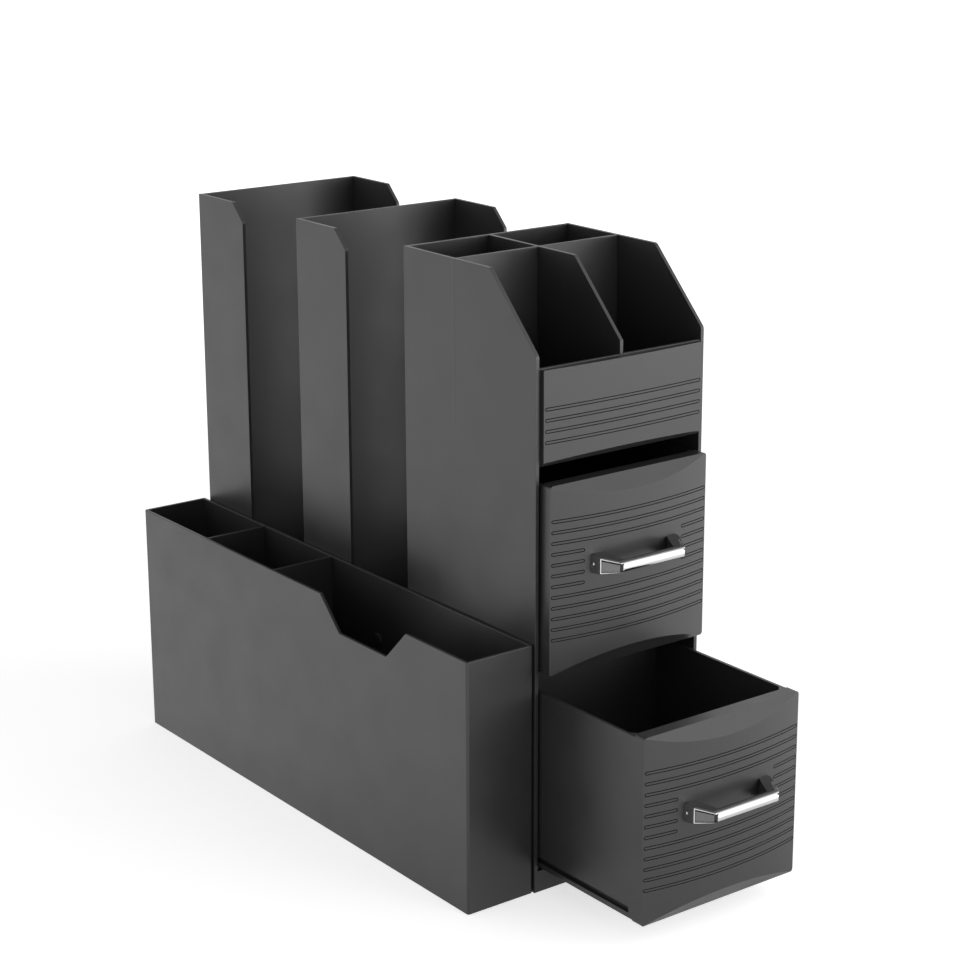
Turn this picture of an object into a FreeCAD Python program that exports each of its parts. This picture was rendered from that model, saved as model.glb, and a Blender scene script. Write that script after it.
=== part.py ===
import FreeCAD, Part
import math
import os

# Counter-top coffee organiser: a tall housing with a tower of two drawers and
# four open compartments, two cup bays behind the tower, and a long open pocket
# that stands against the left side.
# X runs to the right as seen from the front, Y to the back and Z up.
# The origin is the centre of the housing's footprint, on the counter.
# All sizes are in millimetres.

# Housing
housing_width = 120.0
housing_depth = 350.0
panel_wall = 2.2
slope_depth = 41.0
slope_drop = 42.0
slope_corner_radius = 3.5
tower_depth = 121.6
cup_bay_split = 234.5
bay_strip_depth = 53.0
strip_chamfer = 11.5
strip_corner_radius = 2.0
slot_depth_below_pocket_rim = 20.0
slot_corner_radius = 5.0
bottom_rail_height = 13.0
lap_clearance = 0.1

# Open compartments on top of the tower
compartment_gap = 9.7
compartment_front_setback = 0.6
compartment_rise = 49.0
cross_divider_setback = 73.0

# Fixed front panel below the compartments
fixed_panel_height = 54.0
fixed_panel_edge_thickness = 3.0
fixed_panel_bulge = 2.0
fixed_panel_bevel_rise = 0.85
fixed_panel_top_gap = 0.5
fixed_panel_lip = 0.5
fixed_groove_count = 4
fixed_groove_first_height = 32.3

# Drawers
drawer_front_width = 113.0
drawer_front_height = 109.4
drawer_front_thickness = 7.8
drawer_front_bulge = 6.2
drawer_bevel_rise = 1.5
drawer_corner_radius = 2.0
drawer_front_skin = 2.4
drawer_front_rim = 2.2
drawer_gap = 9.9
drawer_bottom_gap = 0.6
drawer_front_clearance = 0.3
drawer_box_step = 1.4
drawer_box_length = 112.0
drawer_wall = 2.0
drawer_gusset = 4.0
lower_drawer_opening = 80.0
upper_drawer_opening = 0.0

# Runner slots of the drawers and the guides they ride on
runner_flange = 3.0
runner_slot_height = 3.4
runner_slot_depth = 3.0
runner_slot_front_offset = 3.0
guide_clearance = 0.3
guide_side_clearance = 0.5
guide_web = 0.8
guide_ledge = 1.7
guide_front_setback = 0.4

# Outlined grooves on the fronts
groove_pitch = 6.2
groove_height = 2.1
groove_line_width = 0.6
groove_line_depth = 0.6
groove_edge_margin = 0.8
groove_count = 12
groove_first_height = 89.2
groove_break_first = 3
groove_break_last = 6
groove_break_half_width = 35.0

# Handles: sizes across are half widths, sizes forward are measured from the plate's edge face
handle_height = 62.1
handle_reach = 22.0
handle_post_reach = 10.2
handle_root_half_width = 31.0
handle_root_inner_half_width = 23.2
handle_post_half_width = 29.5
handle_bar_half_width = 22.5
handle_bar_inner_half_width = 18.0
handle_bar_depth = 5.0
handle_bar_height = 5.8
handle_bar_crown = 2.2
handle_post_top = 3.9
handle_post_bottom = 5.1
handle_root_flare_top = 1.8
handle_root_flare_bottom = 1.0
handle_root_chamfer_width = 2.3
handle_root_chamfer_height = 0.9
handle_trim_leg_thickness = 2.0
handle_trim_bar_depth = 3.6
handle_trim_corner_radius = 3.2
handle_window_depth = 1.3
handle_window_frame = 0.65
handle_window_post_margin = 0.7
handle_window_bar_margin = 1.0
handle_pin_radius = 1.1
handle_pin_length = 2.0
handle_pin_proud = 0.25
handle_pin_root_gap = 0.35

# Screws that hold the handles, driven from inside the drawers
screw_radius = 1.4
screw_hole_clearance = 0.2
screw_pilot_clearance = 0.05
screw_head_radius = 3.0
screw_head_height = 1.8
screw_driver_slot_width = 0.8
screw_driver_slot_depth = 0.7
screw_edge_distance = 2.8
screw_reach = 9.2
screw_pilot_end_room = 0.5
screw_boss_radius = 4.0

# Side pocket
pocket_width = 45.7
pocket_gap = 0.6
pocket_front_setback = 1.0
pocket_length = 355.0
pocket_height = 150.0
pocket_wall = 2.0
pocket_floor = 2.2
pocket_corner_radius = 1.5
pocket_front_divider_setback = 198.5
pocket_rear_divider_setback = 276.5
pocket_divider_thickness = 2.0
pocket_divider_fit = 0.1
notch_centre_setback = 102.2
notch_top_width = 87.0
notch_bottom_width = 48.0
notch_depth = 19.5
notch_corner_radius = 2.0

# Snap rivets that hold the pocket to the housing
rivet_radius = 2.0
rivet_hole_clearance = 0.1
rivet_head_radius = 4.0
rivet_head_height = 1.2
rivet_collar_radius = 3.2
rivet_spacer_radius = 5.0
rivet_low_height = 40.0
rivet_high_drop = 40.0
rivet_front_setback = 150.0
rivet_rear_inset = 25.0

# Places worked out from the sizes above
front_y = -housing_depth / 2
back_y = housing_depth / 2
side_x = housing_width / 2
inner_x = side_x - panel_wall
tower_back_y = front_y + tower_depth
tower_wall_y = tower_back_y - panel_wall
split_back_y = front_y + cup_bay_split
split_front_y = split_back_y - panel_wall
rear_strip_y = back_y - bay_strip_depth
front_strip_y = split_back_y - bay_strip_depth
compartment_front_y = front_y + compartment_front_setback
cross_divider_y = front_y + cross_divider_setback
drawer_closed_y = front_y - drawer_front_clearance
lower_drawer_z = bottom_rail_height + drawer_bottom_gap
upper_drawer_z = lower_drawer_z + drawer_front_height + drawer_gap
compartment_floor_bottom = upper_drawer_z + drawer_front_height + compartment_gap
compartment_floor_top = compartment_floor_bottom + panel_wall
fixed_panel_bottom = compartment_floor_bottom - fixed_panel_lip
fixed_panel_top = fixed_panel_bottom + fixed_panel_height
compartment_front_top = fixed_panel_top + fixed_panel_top_gap
housing_height = compartment_front_top + compartment_rise
slot_bottom = pocket_height - slot_depth_below_pocket_rim
drawer_half_width = drawer_front_width / 2
box_top = drawer_front_height - drawer_box_step
slot_low = drawer_box_step + runner_flange
slot_high = slot_low + runner_slot_height
step_top = slot_high + runner_flange
slot_inner_x = drawer_half_width - runner_slot_depth
pocket_right_x = -side_x - pocket_gap
pocket_left_x = pocket_right_x - pocket_width
pocket_front_y = front_y + pocket_front_setback
pocket_back_y = pocket_front_y + pocket_length

nodes = {}


# Basic shapes

def block(x0, x1, y0, y1, z0, z1):
    """Rectangular block between two corners."""
    size = FreeCAD.Vector(x1 - x0, y1 - y0, z1 - z0)
    return Part.makeBox(size.x, size.y, size.z, FreeCAD.Vector(x0, y0, z0))


def place(u, v, axis, offset):
    """Point (u, v) of a flat outline, on the plane at this offset along the axis."""
    if axis == "X":
        return FreeCAD.Vector(offset, u, v)
    if axis == "Y":
        return FreeCAD.Vector(u, offset, v)
    return FreeCAD.Vector(u, v, offset)


def rounded_edges(points, axis, offset):
    """Edges of a closed outline whose points are (u, v, corner radius)."""
    corners = [place(u, v, axis, offset) for u, v, _ in points]
    radii = [radius for _, _, radius in points]
    count = len(corners)
    entries = []
    exits = []
    middles = []
    for i in range(count):
        here = corners[i]
        back = (corners[i - 1] - here).normalize()
        ahead = (corners[(i + 1) % count] - here).normalize()
        half_angle = math.acos(max(-1.0, min(1.0, back.dot(ahead)))) / 2
        reach = radii[i] / math.tan(half_angle)
        entries.append(here + back * reach)
        exits.append(here + ahead * reach)
        bisector = back + ahead
        if radii[i] > 0:
            bisector.normalize()
        middles.append(here + bisector * (radii[i] / math.sin(half_angle) - radii[i]))
    edges = []
    for i in range(count):
        if radii[i] > 0:
            edges.append(Part.Arc(entries[i], middles[i], exits[i]).toShape())
        following = entries[(i + 1) % count]
        if (following - exits[i]).Length > 1e-6:
            edges.append(Part.LineSegment(exits[i], following).toShape())
    return edges


def prism(points, axis, low, high):
    """Solid with this flat outline, from low to high along the axis."""
    outline = Part.Wire(rounded_edges(points, axis, low))
    travel = place(0.0, 0.0, axis, high - low)
    return Part.Face(outline).extrude(travel)


def rod(radius, start, end):
    """Round bar between two points."""
    along = end - start
    return Part.makeCylinder(radius, along.Length, start, along)


def mirrored(shape):
    """The same shape on the other side of the middle plane."""
    return shape.mirror(FreeCAD.Vector(0, 0, 0), FreeCAD.Vector(1, 0, 0))


def joined(shapes):
    """One solid from touching or overlapping shapes."""
    return shapes[0].multiFuse(shapes[1:]).removeSplitter()


def without(shape, cutters):
    """The shape with all the cutters taken out."""
    return shape.cut(Part.makeCompound(cutters))


# Rivet places on the left side, which the panel and the pocket share

def rivet_centres():
    places = (front_y + rivet_front_setback, back_y - rivet_rear_inset)
    heights = (rivet_low_height, pocket_height - rivet_high_drop)
    return [(y, z) for y in places for z in heights]


def rivet_holes():
    radius = rivet_radius + rivet_hole_clearance
    start_x = pocket_right_x - 2 * pocket_wall
    end_x = -inner_x + panel_wall
    return [
        rod(radius, FreeCAD.Vector(start_x, y, z), FreeCAD.Vector(end_x, y, z))
        for y, z in rivet_centres()
    ]


# Housing panels

def side_panel_outline():
    """Side view of a side panel: tower with its slope, then two strips beside the cup bays."""
    top = housing_height
    slope_low = top - slope_drop
    return [
        (front_y, 0.0, 0.0),
        (back_y, 0.0, 0.0),
        (back_y, top, 0.0),
        (rear_strip_y + strip_chamfer, top, strip_corner_radius),
        (rear_strip_y, top - strip_chamfer, strip_corner_radius),
        (rear_strip_y, slot_bottom, slot_corner_radius),
        (split_back_y, slot_bottom, slot_corner_radius),
        (split_back_y, top, 0.0),
        (front_strip_y + strip_chamfer, top, strip_corner_radius),
        (front_strip_y, top - strip_chamfer, strip_corner_radius),
        (front_strip_y, slot_bottom, slot_corner_radius),
        (tower_back_y, slot_bottom, slot_corner_radius),
        (tower_back_y, top, 0.0),
        (front_y + slope_depth, top, slope_corner_radius),
        (front_y, slope_low, slope_corner_radius),
    ]


def make_side_panels():
    panel = prism(side_panel_outline(), "X", inner_x, side_x)
    nodes["right_side_panel"] = panel
    nodes["left_side_panel"] = without(mirrored(panel), rivet_holes())


def make_cross_walls():
    """Walls that run from side to side at full height."""
    for name, y in (
        ("back_wall", back_y - panel_wall),
        ("cup_bay_divider", split_front_y),
        ("tower_rear_wall", tower_wall_y),
    ):
        low = 0.0 if name == "back_wall" else panel_wall
        nodes[name] = block(-inner_x, inner_x, y, y + panel_wall, low, housing_height)


def make_base():
    rail_back_y = front_y + panel_wall
    nodes["bottom_front_rail"] = block(-inner_x, inner_x, front_y, rail_back_y, 0.0, bottom_rail_height)
    nodes["base_panel"] = block(-inner_x, inner_x, rail_back_y, back_y - panel_wall, 0.0, panel_wall)


# Compartments on top of the tower

def make_compartments():
    front_wall_back_y = compartment_front_y + panel_wall
    nodes["compartment_front_wall"] = block(
        -inner_x, inner_x,
        compartment_front_y, front_wall_back_y,
        compartment_floor_bottom, compartment_front_top,
    )
    nodes["compartment_floor"] = block(
        -inner_x, inner_x,
        front_wall_back_y, tower_wall_y,
        compartment_floor_bottom, compartment_floor_top,
    )
    make_dividers(front_wall_back_y)


def make_dividers(front_wall_back_y):
    """Two dividers that cross with a half lap: one slotted from above, one from below."""
    half = panel_wall / 2
    lap_height = (compartment_floor_top + housing_height) / 2
    cross_back_y = cross_divider_y + panel_wall
    cross = block(
        -inner_x, inner_x,
        cross_divider_y, cross_back_y,
        compartment_floor_top, housing_height,
    )
    cross_slot = block(
        -half - lap_clearance, half + lap_clearance,
        cross_divider_y - panel_wall, cross_back_y + panel_wall,
        lap_height - lap_clearance, housing_height + panel_wall,
    )
    nodes["cross_divider"] = cross.cut(cross_slot)

    nose_y = compartment_front_y
    slope_low = housing_height - slope_drop
    nose_slope_z = slope_low + (nose_y - front_y) * slope_drop / slope_depth
    outline = [
        (front_wall_back_y, compartment_floor_top, 0.0),
        (tower_wall_y, compartment_floor_top, 0.0),
        (tower_wall_y, housing_height, 0.0),
        (front_y + slope_depth, housing_height, slope_corner_radius),
        (nose_y, nose_slope_z, 0.0),
        (nose_y, compartment_front_top, 0.0),
        (front_wall_back_y, compartment_front_top, 0.0),
    ]
    centre = prism(outline, "X", -half, half)
    centre_slot = block(
        -panel_wall, panel_wall,
        cross_divider_y - lap_clearance, cross_back_y + lap_clearance,
        compartment_floor_top - panel_wall, lap_height + lap_clearance,
    )
    nodes["centre_divider"] = centre.cut(centre_slot)


# Curved fronts with outlined grooves

def curved_front(half_width, bottom, top, corner_radius, back, edge, bulge):
    """Front plate whose face is curved about a vertical axis. edge is the face's place at its two sides."""
    margin = 1.0
    low = bottom - margin
    left = FreeCAD.Vector(-half_width, edge, low)
    middle = FreeCAD.Vector(0.0, edge - bulge, low)
    right = FreeCAD.Vector(half_width, edge, low)
    back_right = FreeCAD.Vector(half_width, back, low)
    back_left = FreeCAD.Vector(-half_width, back, low)
    plan = Part.Wire([
        Part.Arc(left, middle, right).toShape(),
        Part.LineSegment(right, back_right).toShape(),
        Part.LineSegment(back_right, back_left).toShape(),
        Part.LineSegment(back_left, left).toShape(),
    ])
    body = Part.Face(plan).extrude(FreeCAD.Vector(0, 0, top + margin - low))
    outline = [
        (-half_width, bottom, corner_radius),
        (half_width, bottom, corner_radius),
        (half_width, top, corner_radius),
        (-half_width, top, corner_radius),
    ]
    return body.common(prism(outline, "Y", edge - bulge - margin, back + margin))


def bevelled_front(half_width, bottom, top, corner_radius, back, edge, bulge, bevel_rise):
    """Curved front whose swell is cut off by flat bevels below and above."""
    body = curved_front(half_width, bottom, top, corner_radius, back, edge, bulge)
    margin = 1.0
    reach = bulge + margin
    for height, rise in ((bottom, 1), (top, -1)):
        wedge = [
            (edge, height, 0.0),
            (edge - reach, height + rise * bevel_rise * reach, 0.0),
            (edge - reach, height - rise * margin, 0.0),
            (edge, height - rise * margin, 0.0),
        ]
        body = body.cut(prism(wedge, "X", -half_width - margin, half_width + margin))
    return body


def groove_ring(start_x, end_x, centre_z, front, back):
    """Thin line around a long slot shape, as a cutter along Y."""
    rings = []
    for half_height in (groove_height / 2, groove_height / 2 - groove_line_width):
        inset = groove_height / 2 - half_height
        low = centre_z - half_height
        high = centre_z + half_height
        radius = half_height * 0.98
        outline = [
            (start_x + inset, low, radius),
            (end_x - inset, low, radius),
            (end_x - inset, high, radius),
            (start_x + inset, high, radius),
        ]
        rings.append(prism(outline, "Y", front, back))
    return rings[0].cut(rings[1])


def groove_spans(half_width, broken):
    """Start and end in X of each groove in one row. A broken row leaves room for the handle."""
    outer = half_width - groove_edge_margin
    if broken:
        return [(-outer, -groove_break_half_width), (groove_break_half_width, outer)]
    return [(-outer, outer)]


def engraved(body, core, spans, front, back):
    """Body with the groove lines cut in, as deep as the core behind its face allows."""
    cutters = []
    for start_x, end_x, centre_z in spans:
        ring = groove_ring(start_x, end_x, centre_z, front, back)
        cutters.append(ring.cut(core))
    return without(body, cutters)


def make_fixed_front_panel():
    back = compartment_front_y
    edge = back - fixed_panel_edge_thickness
    sizes = (drawer_half_width, fixed_panel_bottom, fixed_panel_top, 0.0, back)
    body = curved_front(*sizes, edge, fixed_panel_bulge)
    reach = fixed_panel_edge_thickness + fixed_panel_bulge
    underside = [
        (back, fixed_panel_bottom, 0.0),
        (back - reach, fixed_panel_bottom + fixed_panel_bevel_rise * reach, 0.0),
        (back - reach, fixed_panel_bottom, 0.0),
    ]
    body = body.cut(prism(underside, "X", -side_x, side_x))
    core = curved_front(*sizes, edge + groove_line_depth, fixed_panel_bulge)
    spans = []
    for index in range(fixed_groove_count):
        centre_z = fixed_panel_bottom + fixed_groove_first_height - index * groove_pitch
        for start_x, end_x in groove_spans(drawer_half_width, False):
            spans.append((start_x, end_x, centre_z))
    nodes["fixed_front_panel"] = engraved(body, core, spans, edge - 2 * fixed_panel_bulge, back)


# Drawers. Each is built at its own place: back is the rear plane of its front
# plate, and base is the height of the plate's lower edge.

def drawer_core(back, base, shift):
    """The plate's full shape, its face moved back by shift."""
    return bevelled_front(
        drawer_half_width, base, base + drawer_front_height, drawer_corner_radius,
        back, back - drawer_front_thickness + shift,
        drawer_front_bulge, drawer_bevel_rise,
    )


def handle_screw_x():
    """Distance of the handle screws from the middle plane."""
    return handle_root_inner_half_width + screw_edge_distance


def screw_holes(back, base, radius, start_y, end_y):
    """Round cutters on both screw lines."""
    z = base + handle_height
    return [
        rod(radius, FreeCAD.Vector(side * handle_screw_x(), start_y, z),
            FreeCAD.Vector(side * handle_screw_x(), end_y, z))
        for side in (-1, 1)
    ]


def make_drawer_front(name, back, base):
    """Curved plate, hollow from behind, with two bosses for the handle screws."""
    full = drawer_core(back, base, 0.0)
    rim = drawer_front_rim
    top = base + drawer_front_height
    hollow = bevelled_front(
        drawer_half_width - rim, base + rim, top - rim, 0.0,
        back + 1.0, back - drawer_front_thickness + drawer_front_skin,
        drawer_front_bulge, drawer_bevel_rise,
    )
    front_limit = back - drawer_front_thickness - 2 * drawer_front_bulge
    bosses = screw_holes(back, base, screw_boss_radius, front_limit, back)
    boss_parts = [boss.common(full) for boss in bosses]
    shell = joined([full.cut(hollow)] + boss_parts)
    hole_radius = screw_radius + screw_hole_clearance
    holes = screw_holes(back, base, hole_radius, front_limit, back + 1.0)
    shell = without(shell, holes)
    spans = []
    for index in range(groove_count):
        centre_z = base + groove_first_height - index * groove_pitch
        broken = groove_break_first <= index <= groove_break_last
        for start_x, end_x in groove_spans(drawer_half_width, broken):
            spans.append((start_x, end_x, centre_z))
    core = drawer_core(back, base, groove_line_depth)
    nodes[name + "_drawer_front"] = engraved(shell, core, spans, front_limit, back)


def make_drawer_box(name, back, base):
    """Open box with a step along each lower side that leaves room for the runner slot."""
    rear = back + drawer_box_length
    top = base + box_top
    body = block(-drawer_half_width, drawer_half_width, back, rear, base + drawer_box_step, top)
    inner_half = drawer_half_width - drawer_wall
    low_half = slot_inner_x - drawer_wall
    front_inner = back + drawer_wall
    rear_inner = rear - drawer_wall
    cutters = [
        block(-inner_half, inner_half, front_inner, rear_inner, base + step_top, top + 1.0),
        block(-low_half, low_half, front_inner, rear_inner, base + slot_low, base + step_top + 1.0),
    ]
    slot_start = back + runner_slot_front_offset
    slot = block(slot_inner_x, drawer_half_width + 1.0, slot_start, rear + 1.0, base + slot_low, base + slot_high)
    cutters += [slot, mirrored(slot)]
    hole_radius = screw_radius + screw_hole_clearance
    cutters += screw_holes(back, base, hole_radius, back - 1.0, front_inner + 1.0)
    body = without(body, cutters)
    gusset_outline = [
        (inner_half + drawer_wall / 2, front_inner - drawer_wall / 2, 0.0),
        (inner_half + drawer_wall / 2, front_inner + drawer_gusset, 0.0),
        (inner_half, front_inner + drawer_gusset, 0.0),
        (inner_half - drawer_gusset, front_inner, 0.0),
        (inner_half - drawer_gusset, front_inner - drawer_wall / 2, 0.0),
    ]
    gusset = prism(gusset_outline, "Z", base + step_top - drawer_wall / 2, top)
    nodes[name + "_drawer_box"] = joined([body, gusset, mirrored(gusset)])


def plate_surface_y(edge, x):
    """Where the drawer's curved face lies at this distance from its middle."""
    radius = (drawer_half_width ** 2 + drawer_front_bulge ** 2) / (2 * drawer_front_bulge)
    centre_y = edge - drawer_front_bulge + radius
    return centre_y - math.sqrt(radius ** 2 - x ** 2)


def handle_envelope(edge, z):
    """Side view of a handle, tall at its roots and crowned at the bar, cut to its front view."""
    bar = handle_bar_height / 2
    post_y = edge - handle_post_reach
    bar_y = edge - handle_reach
    root_y = plate_surface_y(edge, handle_root_half_width)
    top = z + handle_post_top
    bottom = z - handle_post_bottom
    root_top = top + handle_root_flare_top
    root_bottom = bottom - handle_root_flare_bottom
    width = handle_root_half_width + 1.0
    corners = [
        (bar_y + handle_bar_crown, z - bar),
        (post_y, bottom),
        (root_y, root_bottom),
        (edge, root_bottom),
        (edge, root_top),
        (root_y, root_top),
        (post_y, top),
        (bar_y + handle_bar_crown, z + bar),
    ]
    points = [FreeCAD.Vector(-width, y, height) for y, height in corners]
    edges = [Part.LineSegment(a, b).toShape() for a, b in zip(points, points[1:])]
    crown = Part.Arc(points[-1], FreeCAD.Vector(-width, bar_y, z), points[0]).toShape()
    side_view = Part.Face(Part.Wire(edges + [crown])).extrude(FreeCAD.Vector(2 * width, 0, 0))
    across = handle_root_half_width
    cut_x = across - handle_root_chamfer_width
    cut_top = root_top - handle_root_chamfer_height
    cut_bottom = root_bottom + handle_root_chamfer_height
    front_view = [
        (-across, cut_bottom, 0.0),
        (-cut_x, root_bottom, 0.0),
        (cut_x, root_bottom, 0.0),
        (across, cut_bottom, 0.0),
        (across, cut_top, 0.0),
        (cut_x, root_top, 0.0),
        (-cut_x, root_top, 0.0),
        (-across, cut_top, 0.0),
    ]
    return side_view.common(prism(front_view, "Y", bar_y - 1.0, edge + 1.0))


def leg_line(edge):
    """Outer corners of the right leg in plan, and the unit vector square to it."""
    start = FreeCAD.Vector(handle_post_half_width, edge - handle_post_reach, 0.0)
    finish = FreeCAD.Vector(handle_bar_half_width, edge - handle_reach, 0.0)
    along = (finish - start).normalize()
    return start, finish, FreeCAD.Vector(-along.y, along.x, 0.0)


def trim_inner_points(edge):
    """Where the trim's inner face turns: at the post and at the end of the bar."""
    start, finish, normal = leg_line(edge)
    along = (finish - start).normalize()
    inner = start - normal * handle_trim_leg_thickness
    bar_y = finish.y + handle_trim_bar_depth
    at_post = inner + along * ((start.y - inner.y) / along.y)
    at_bar = inner + along * ((bar_y - inner.y) / along.y)
    return at_post, at_bar


def make_handle(name, back, base):
    edge = back - drawer_front_thickness
    z = base + handle_height
    envelope = handle_envelope(edge, z)
    start, finish, _ = leg_line(edge)
    at_post, at_bar = trim_inner_points(edge)
    root_y = plate_surface_y(edge, handle_root_half_width)
    inner_root_y = plate_surface_y(edge, handle_root_inner_half_width)
    rear_bar_y = edge - handle_reach + handle_bar_depth
    low = z - 2 * handle_post_bottom
    high = z + 2 * handle_post_bottom
    right_side = [
        (handle_bar_inner_half_width, rear_bar_y, 0.8),
        (handle_root_inner_half_width, inner_root_y, 0.0),
        (handle_root_inner_half_width, edge, 0.0),
        (handle_root_half_width, edge, 0.0),
        (handle_root_half_width, root_y, 0.0),
        (start.x, start.y, 0.0),
        (at_post.x, at_post.y, 0.0),
        (at_bar.x, at_bar.y, 0.0),
    ]
    left_side = [(-x, y, radius) for x, y, radius in reversed(right_side)]
    bracket = prism(right_side + left_side, "Z", low, high).common(envelope)
    pilot_radius = screw_radius + screw_pilot_clearance
    pilots = screw_holes(back, base, pilot_radius, screw_end_y(back) - screw_pilot_end_room, back)
    cutters = [drawer_core(back, base, 0.0)] + pilots + handle_pin_shapes(edge, z, pilot=True)
    nodes[name + "_handle_bracket"] = without(bracket, cutters)

    trim_side = [
        (finish.x, finish.y, handle_trim_corner_radius),
        (start.x, start.y, 0.0),
        (at_post.x, at_post.y, 0.0),
        (at_bar.x, at_bar.y, 0.0),
    ]
    other_side = [(-x, y, radius) for x, y, radius in reversed(trim_side)]
    trim = prism(trim_side + other_side, "Z", low, high).common(envelope)
    window = leg_window(edge, z)
    nodes[name + "_handle_trim"] = without(trim, [window, mirrored(window)])
    nodes[name + "_handle_pins"] = Part.makeCompound(handle_pin_shapes(edge, z, pilot=False))
    nodes[name + "_handle_screws"] = make_handle_screws(back, base)


def leg_window(edge, z):
    """Cutter for the sunk panel in the right leg's outer face."""
    start, finish, normal = leg_line(edge)
    along = (finish - start).normalize()
    length = (finish - start).Length
    bar = handle_bar_height / 2
    near = handle_window_post_margin
    far = length - handle_window_bar_margin
    corners = []
    for distance, post_height, side in (
        (near, handle_post_bottom, -1),
        (far, handle_post_bottom, -1),
        (far, handle_post_top, 1),
        (near, handle_post_top, 1),
    ):
        share = distance / length
        height = post_height * (1 - share) + bar * share - handle_window_frame
        place_up = FreeCAD.Vector(0, 0, z + side * height)
        corners.append(start + along * distance + place_up + normal)
    outline = Part.makePolygon(corners + corners[:1])
    return Part.Face(outline).extrude(normal * -(1.0 + handle_window_depth))


def handle_pin_shapes(edge, z, pilot):
    """Two cross pins at the roots of the posts, or the holes that they sit in."""
    clearance = screw_pilot_clearance if pilot else 0.0
    outside = 1.0 if pilot else handle_pin_proud
    y = plate_surface_y(edge, handle_root_half_width) - handle_pin_radius - handle_pin_root_gap
    root_x = handle_root_half_width
    start = FreeCAD.Vector(root_x - handle_pin_length - clearance, y, z)
    pin = rod(handle_pin_radius + clearance, start, FreeCAD.Vector(root_x + outside, y, z))
    return [pin, mirrored(pin)]


def screw_end_y(back):
    """How far forward the handle screws reach."""
    return back - drawer_front_thickness - screw_reach


def make_handle_screws(back, base):
    z = base + handle_height
    seat_y = back + drawer_wall
    tip_y = screw_end_y(back)
    screws = []
    for side in (-1, 1):
        x = side * handle_screw_x()
        shank = rod(screw_radius, FreeCAD.Vector(x, tip_y, z), FreeCAD.Vector(x, seat_y, z))
        head = rod(
            screw_head_radius,
            FreeCAD.Vector(x, seat_y, z),
            FreeCAD.Vector(x, seat_y + screw_head_height, z),
        )
        driver_slot = block(
            x - screw_head_radius, x + screw_head_radius,
            seat_y + screw_head_height - screw_driver_slot_depth, seat_y + screw_head_height + 1.0,
            z - screw_driver_slot_width / 2, z + screw_driver_slot_width / 2,
        )
        screws.append(joined([shank, head]).cut(driver_slot))
    return Part.makeCompound(screws)


def make_drawer(name, base, opening):
    back = drawer_closed_y - opening
    make_drawer_front(name, back, base)
    make_drawer_box(name, back, base)
    make_handle(name, back, base)


# Guides on the inner faces of the side panels

def make_guides(name, base, ledge_front_y):
    """Right guide as seen in section: ledge, web and the rail that runs in the drawer's slot."""
    rail_low = base + slot_low + guide_clearance
    rail_high = base + slot_high - guide_clearance
    rail_inner_x = slot_inner_x + guide_side_clearance
    ledge_top = base + drawer_box_step - guide_clearance
    ledge_inner_x = drawer_half_width - runner_slot_depth / 2
    rail_front_y = drawer_closed_y + runner_slot_front_offset + guide_side_clearance
    rail = block(rail_inner_x, inner_x, rail_front_y, tower_wall_y, rail_low, rail_high)
    web = block(inner_x - guide_web, inner_x, rail_front_y, tower_wall_y, ledge_top - guide_ledge, rail_high)
    ledge = block(ledge_inner_x, inner_x, ledge_front_y, tower_wall_y, ledge_top - guide_ledge, ledge_top)
    guide = joined([rail, web, ledge])
    nodes["right_" + name + "_guide"] = guide
    nodes["left_" + name + "_guide"] = mirrored(guide)


# Side pocket

def pocket_outer_wall_plan():
    """Plan of the pocket's outer wall. Its ends are mitred, so the corners show no seam."""
    wall_inner_x = pocket_left_x + pocket_wall
    return [
        (pocket_left_x, pocket_front_y, 0.0),
        (wall_inner_x, pocket_front_y + pocket_wall, 0.0),
        (wall_inner_x, pocket_back_y - pocket_wall, 0.0),
        (pocket_left_x, pocket_back_y, 0.0),
    ]


def pocket_notch_cutter():
    centre = front_y + notch_centre_setback
    slope = (notch_top_width - notch_bottom_width) / 2 / notch_depth
    overshoot = 1.0
    top_half = notch_top_width / 2 + slope * overshoot
    bottom_half = notch_bottom_width / 2
    bottom = pocket_height - notch_depth
    outline = [
        (centre - top_half, pocket_height + overshoot, 0.0),
        (centre - bottom_half, bottom, notch_corner_radius),
        (centre + bottom_half, bottom, notch_corner_radius),
        (centre + top_half, pocket_height + overshoot, 0.0),
    ]
    return prism(outline, "X", pocket_left_x - 1.0, pocket_left_x + pocket_wall + 1.0)


def make_pocket():
    """The tray is the pocket's floor, ends and inner wall. The notched outer wall closes it."""
    plan = [
        (pocket_left_x, pocket_front_y, pocket_corner_radius),
        (pocket_right_x, pocket_front_y, pocket_corner_radius),
        (pocket_right_x, pocket_back_y, pocket_corner_radius),
        (pocket_left_x, pocket_back_y, pocket_corner_radius),
    ]
    shell = prism(plan, "Z", 0.0, pocket_height)
    outer_wall = shell.common(prism(pocket_outer_wall_plan(), "Z", 0.0, pocket_height))
    cavity = block(
        pocket_left_x + pocket_wall, pocket_right_x - pocket_wall,
        pocket_front_y + pocket_wall, pocket_back_y - pocket_wall,
        pocket_floor, pocket_height + 1.0,
    )
    nodes["pocket_outer_wall"] = outer_wall.cut(pocket_notch_cutter())
    nodes["pocket_tray"] = without(shell, [cavity, outer_wall] + rivet_holes())

    for name, setback in (
        ("pocket_front_divider", pocket_front_divider_setback),
        ("pocket_rear_divider", pocket_rear_divider_setback),
    ):
        y = front_y + setback
        nodes[name] = block(
            pocket_left_x + pocket_wall + pocket_divider_fit,
            pocket_right_x - pocket_wall - pocket_divider_fit,
            y, y + pocket_divider_thickness,
            pocket_floor, pocket_height,
        )


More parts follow.
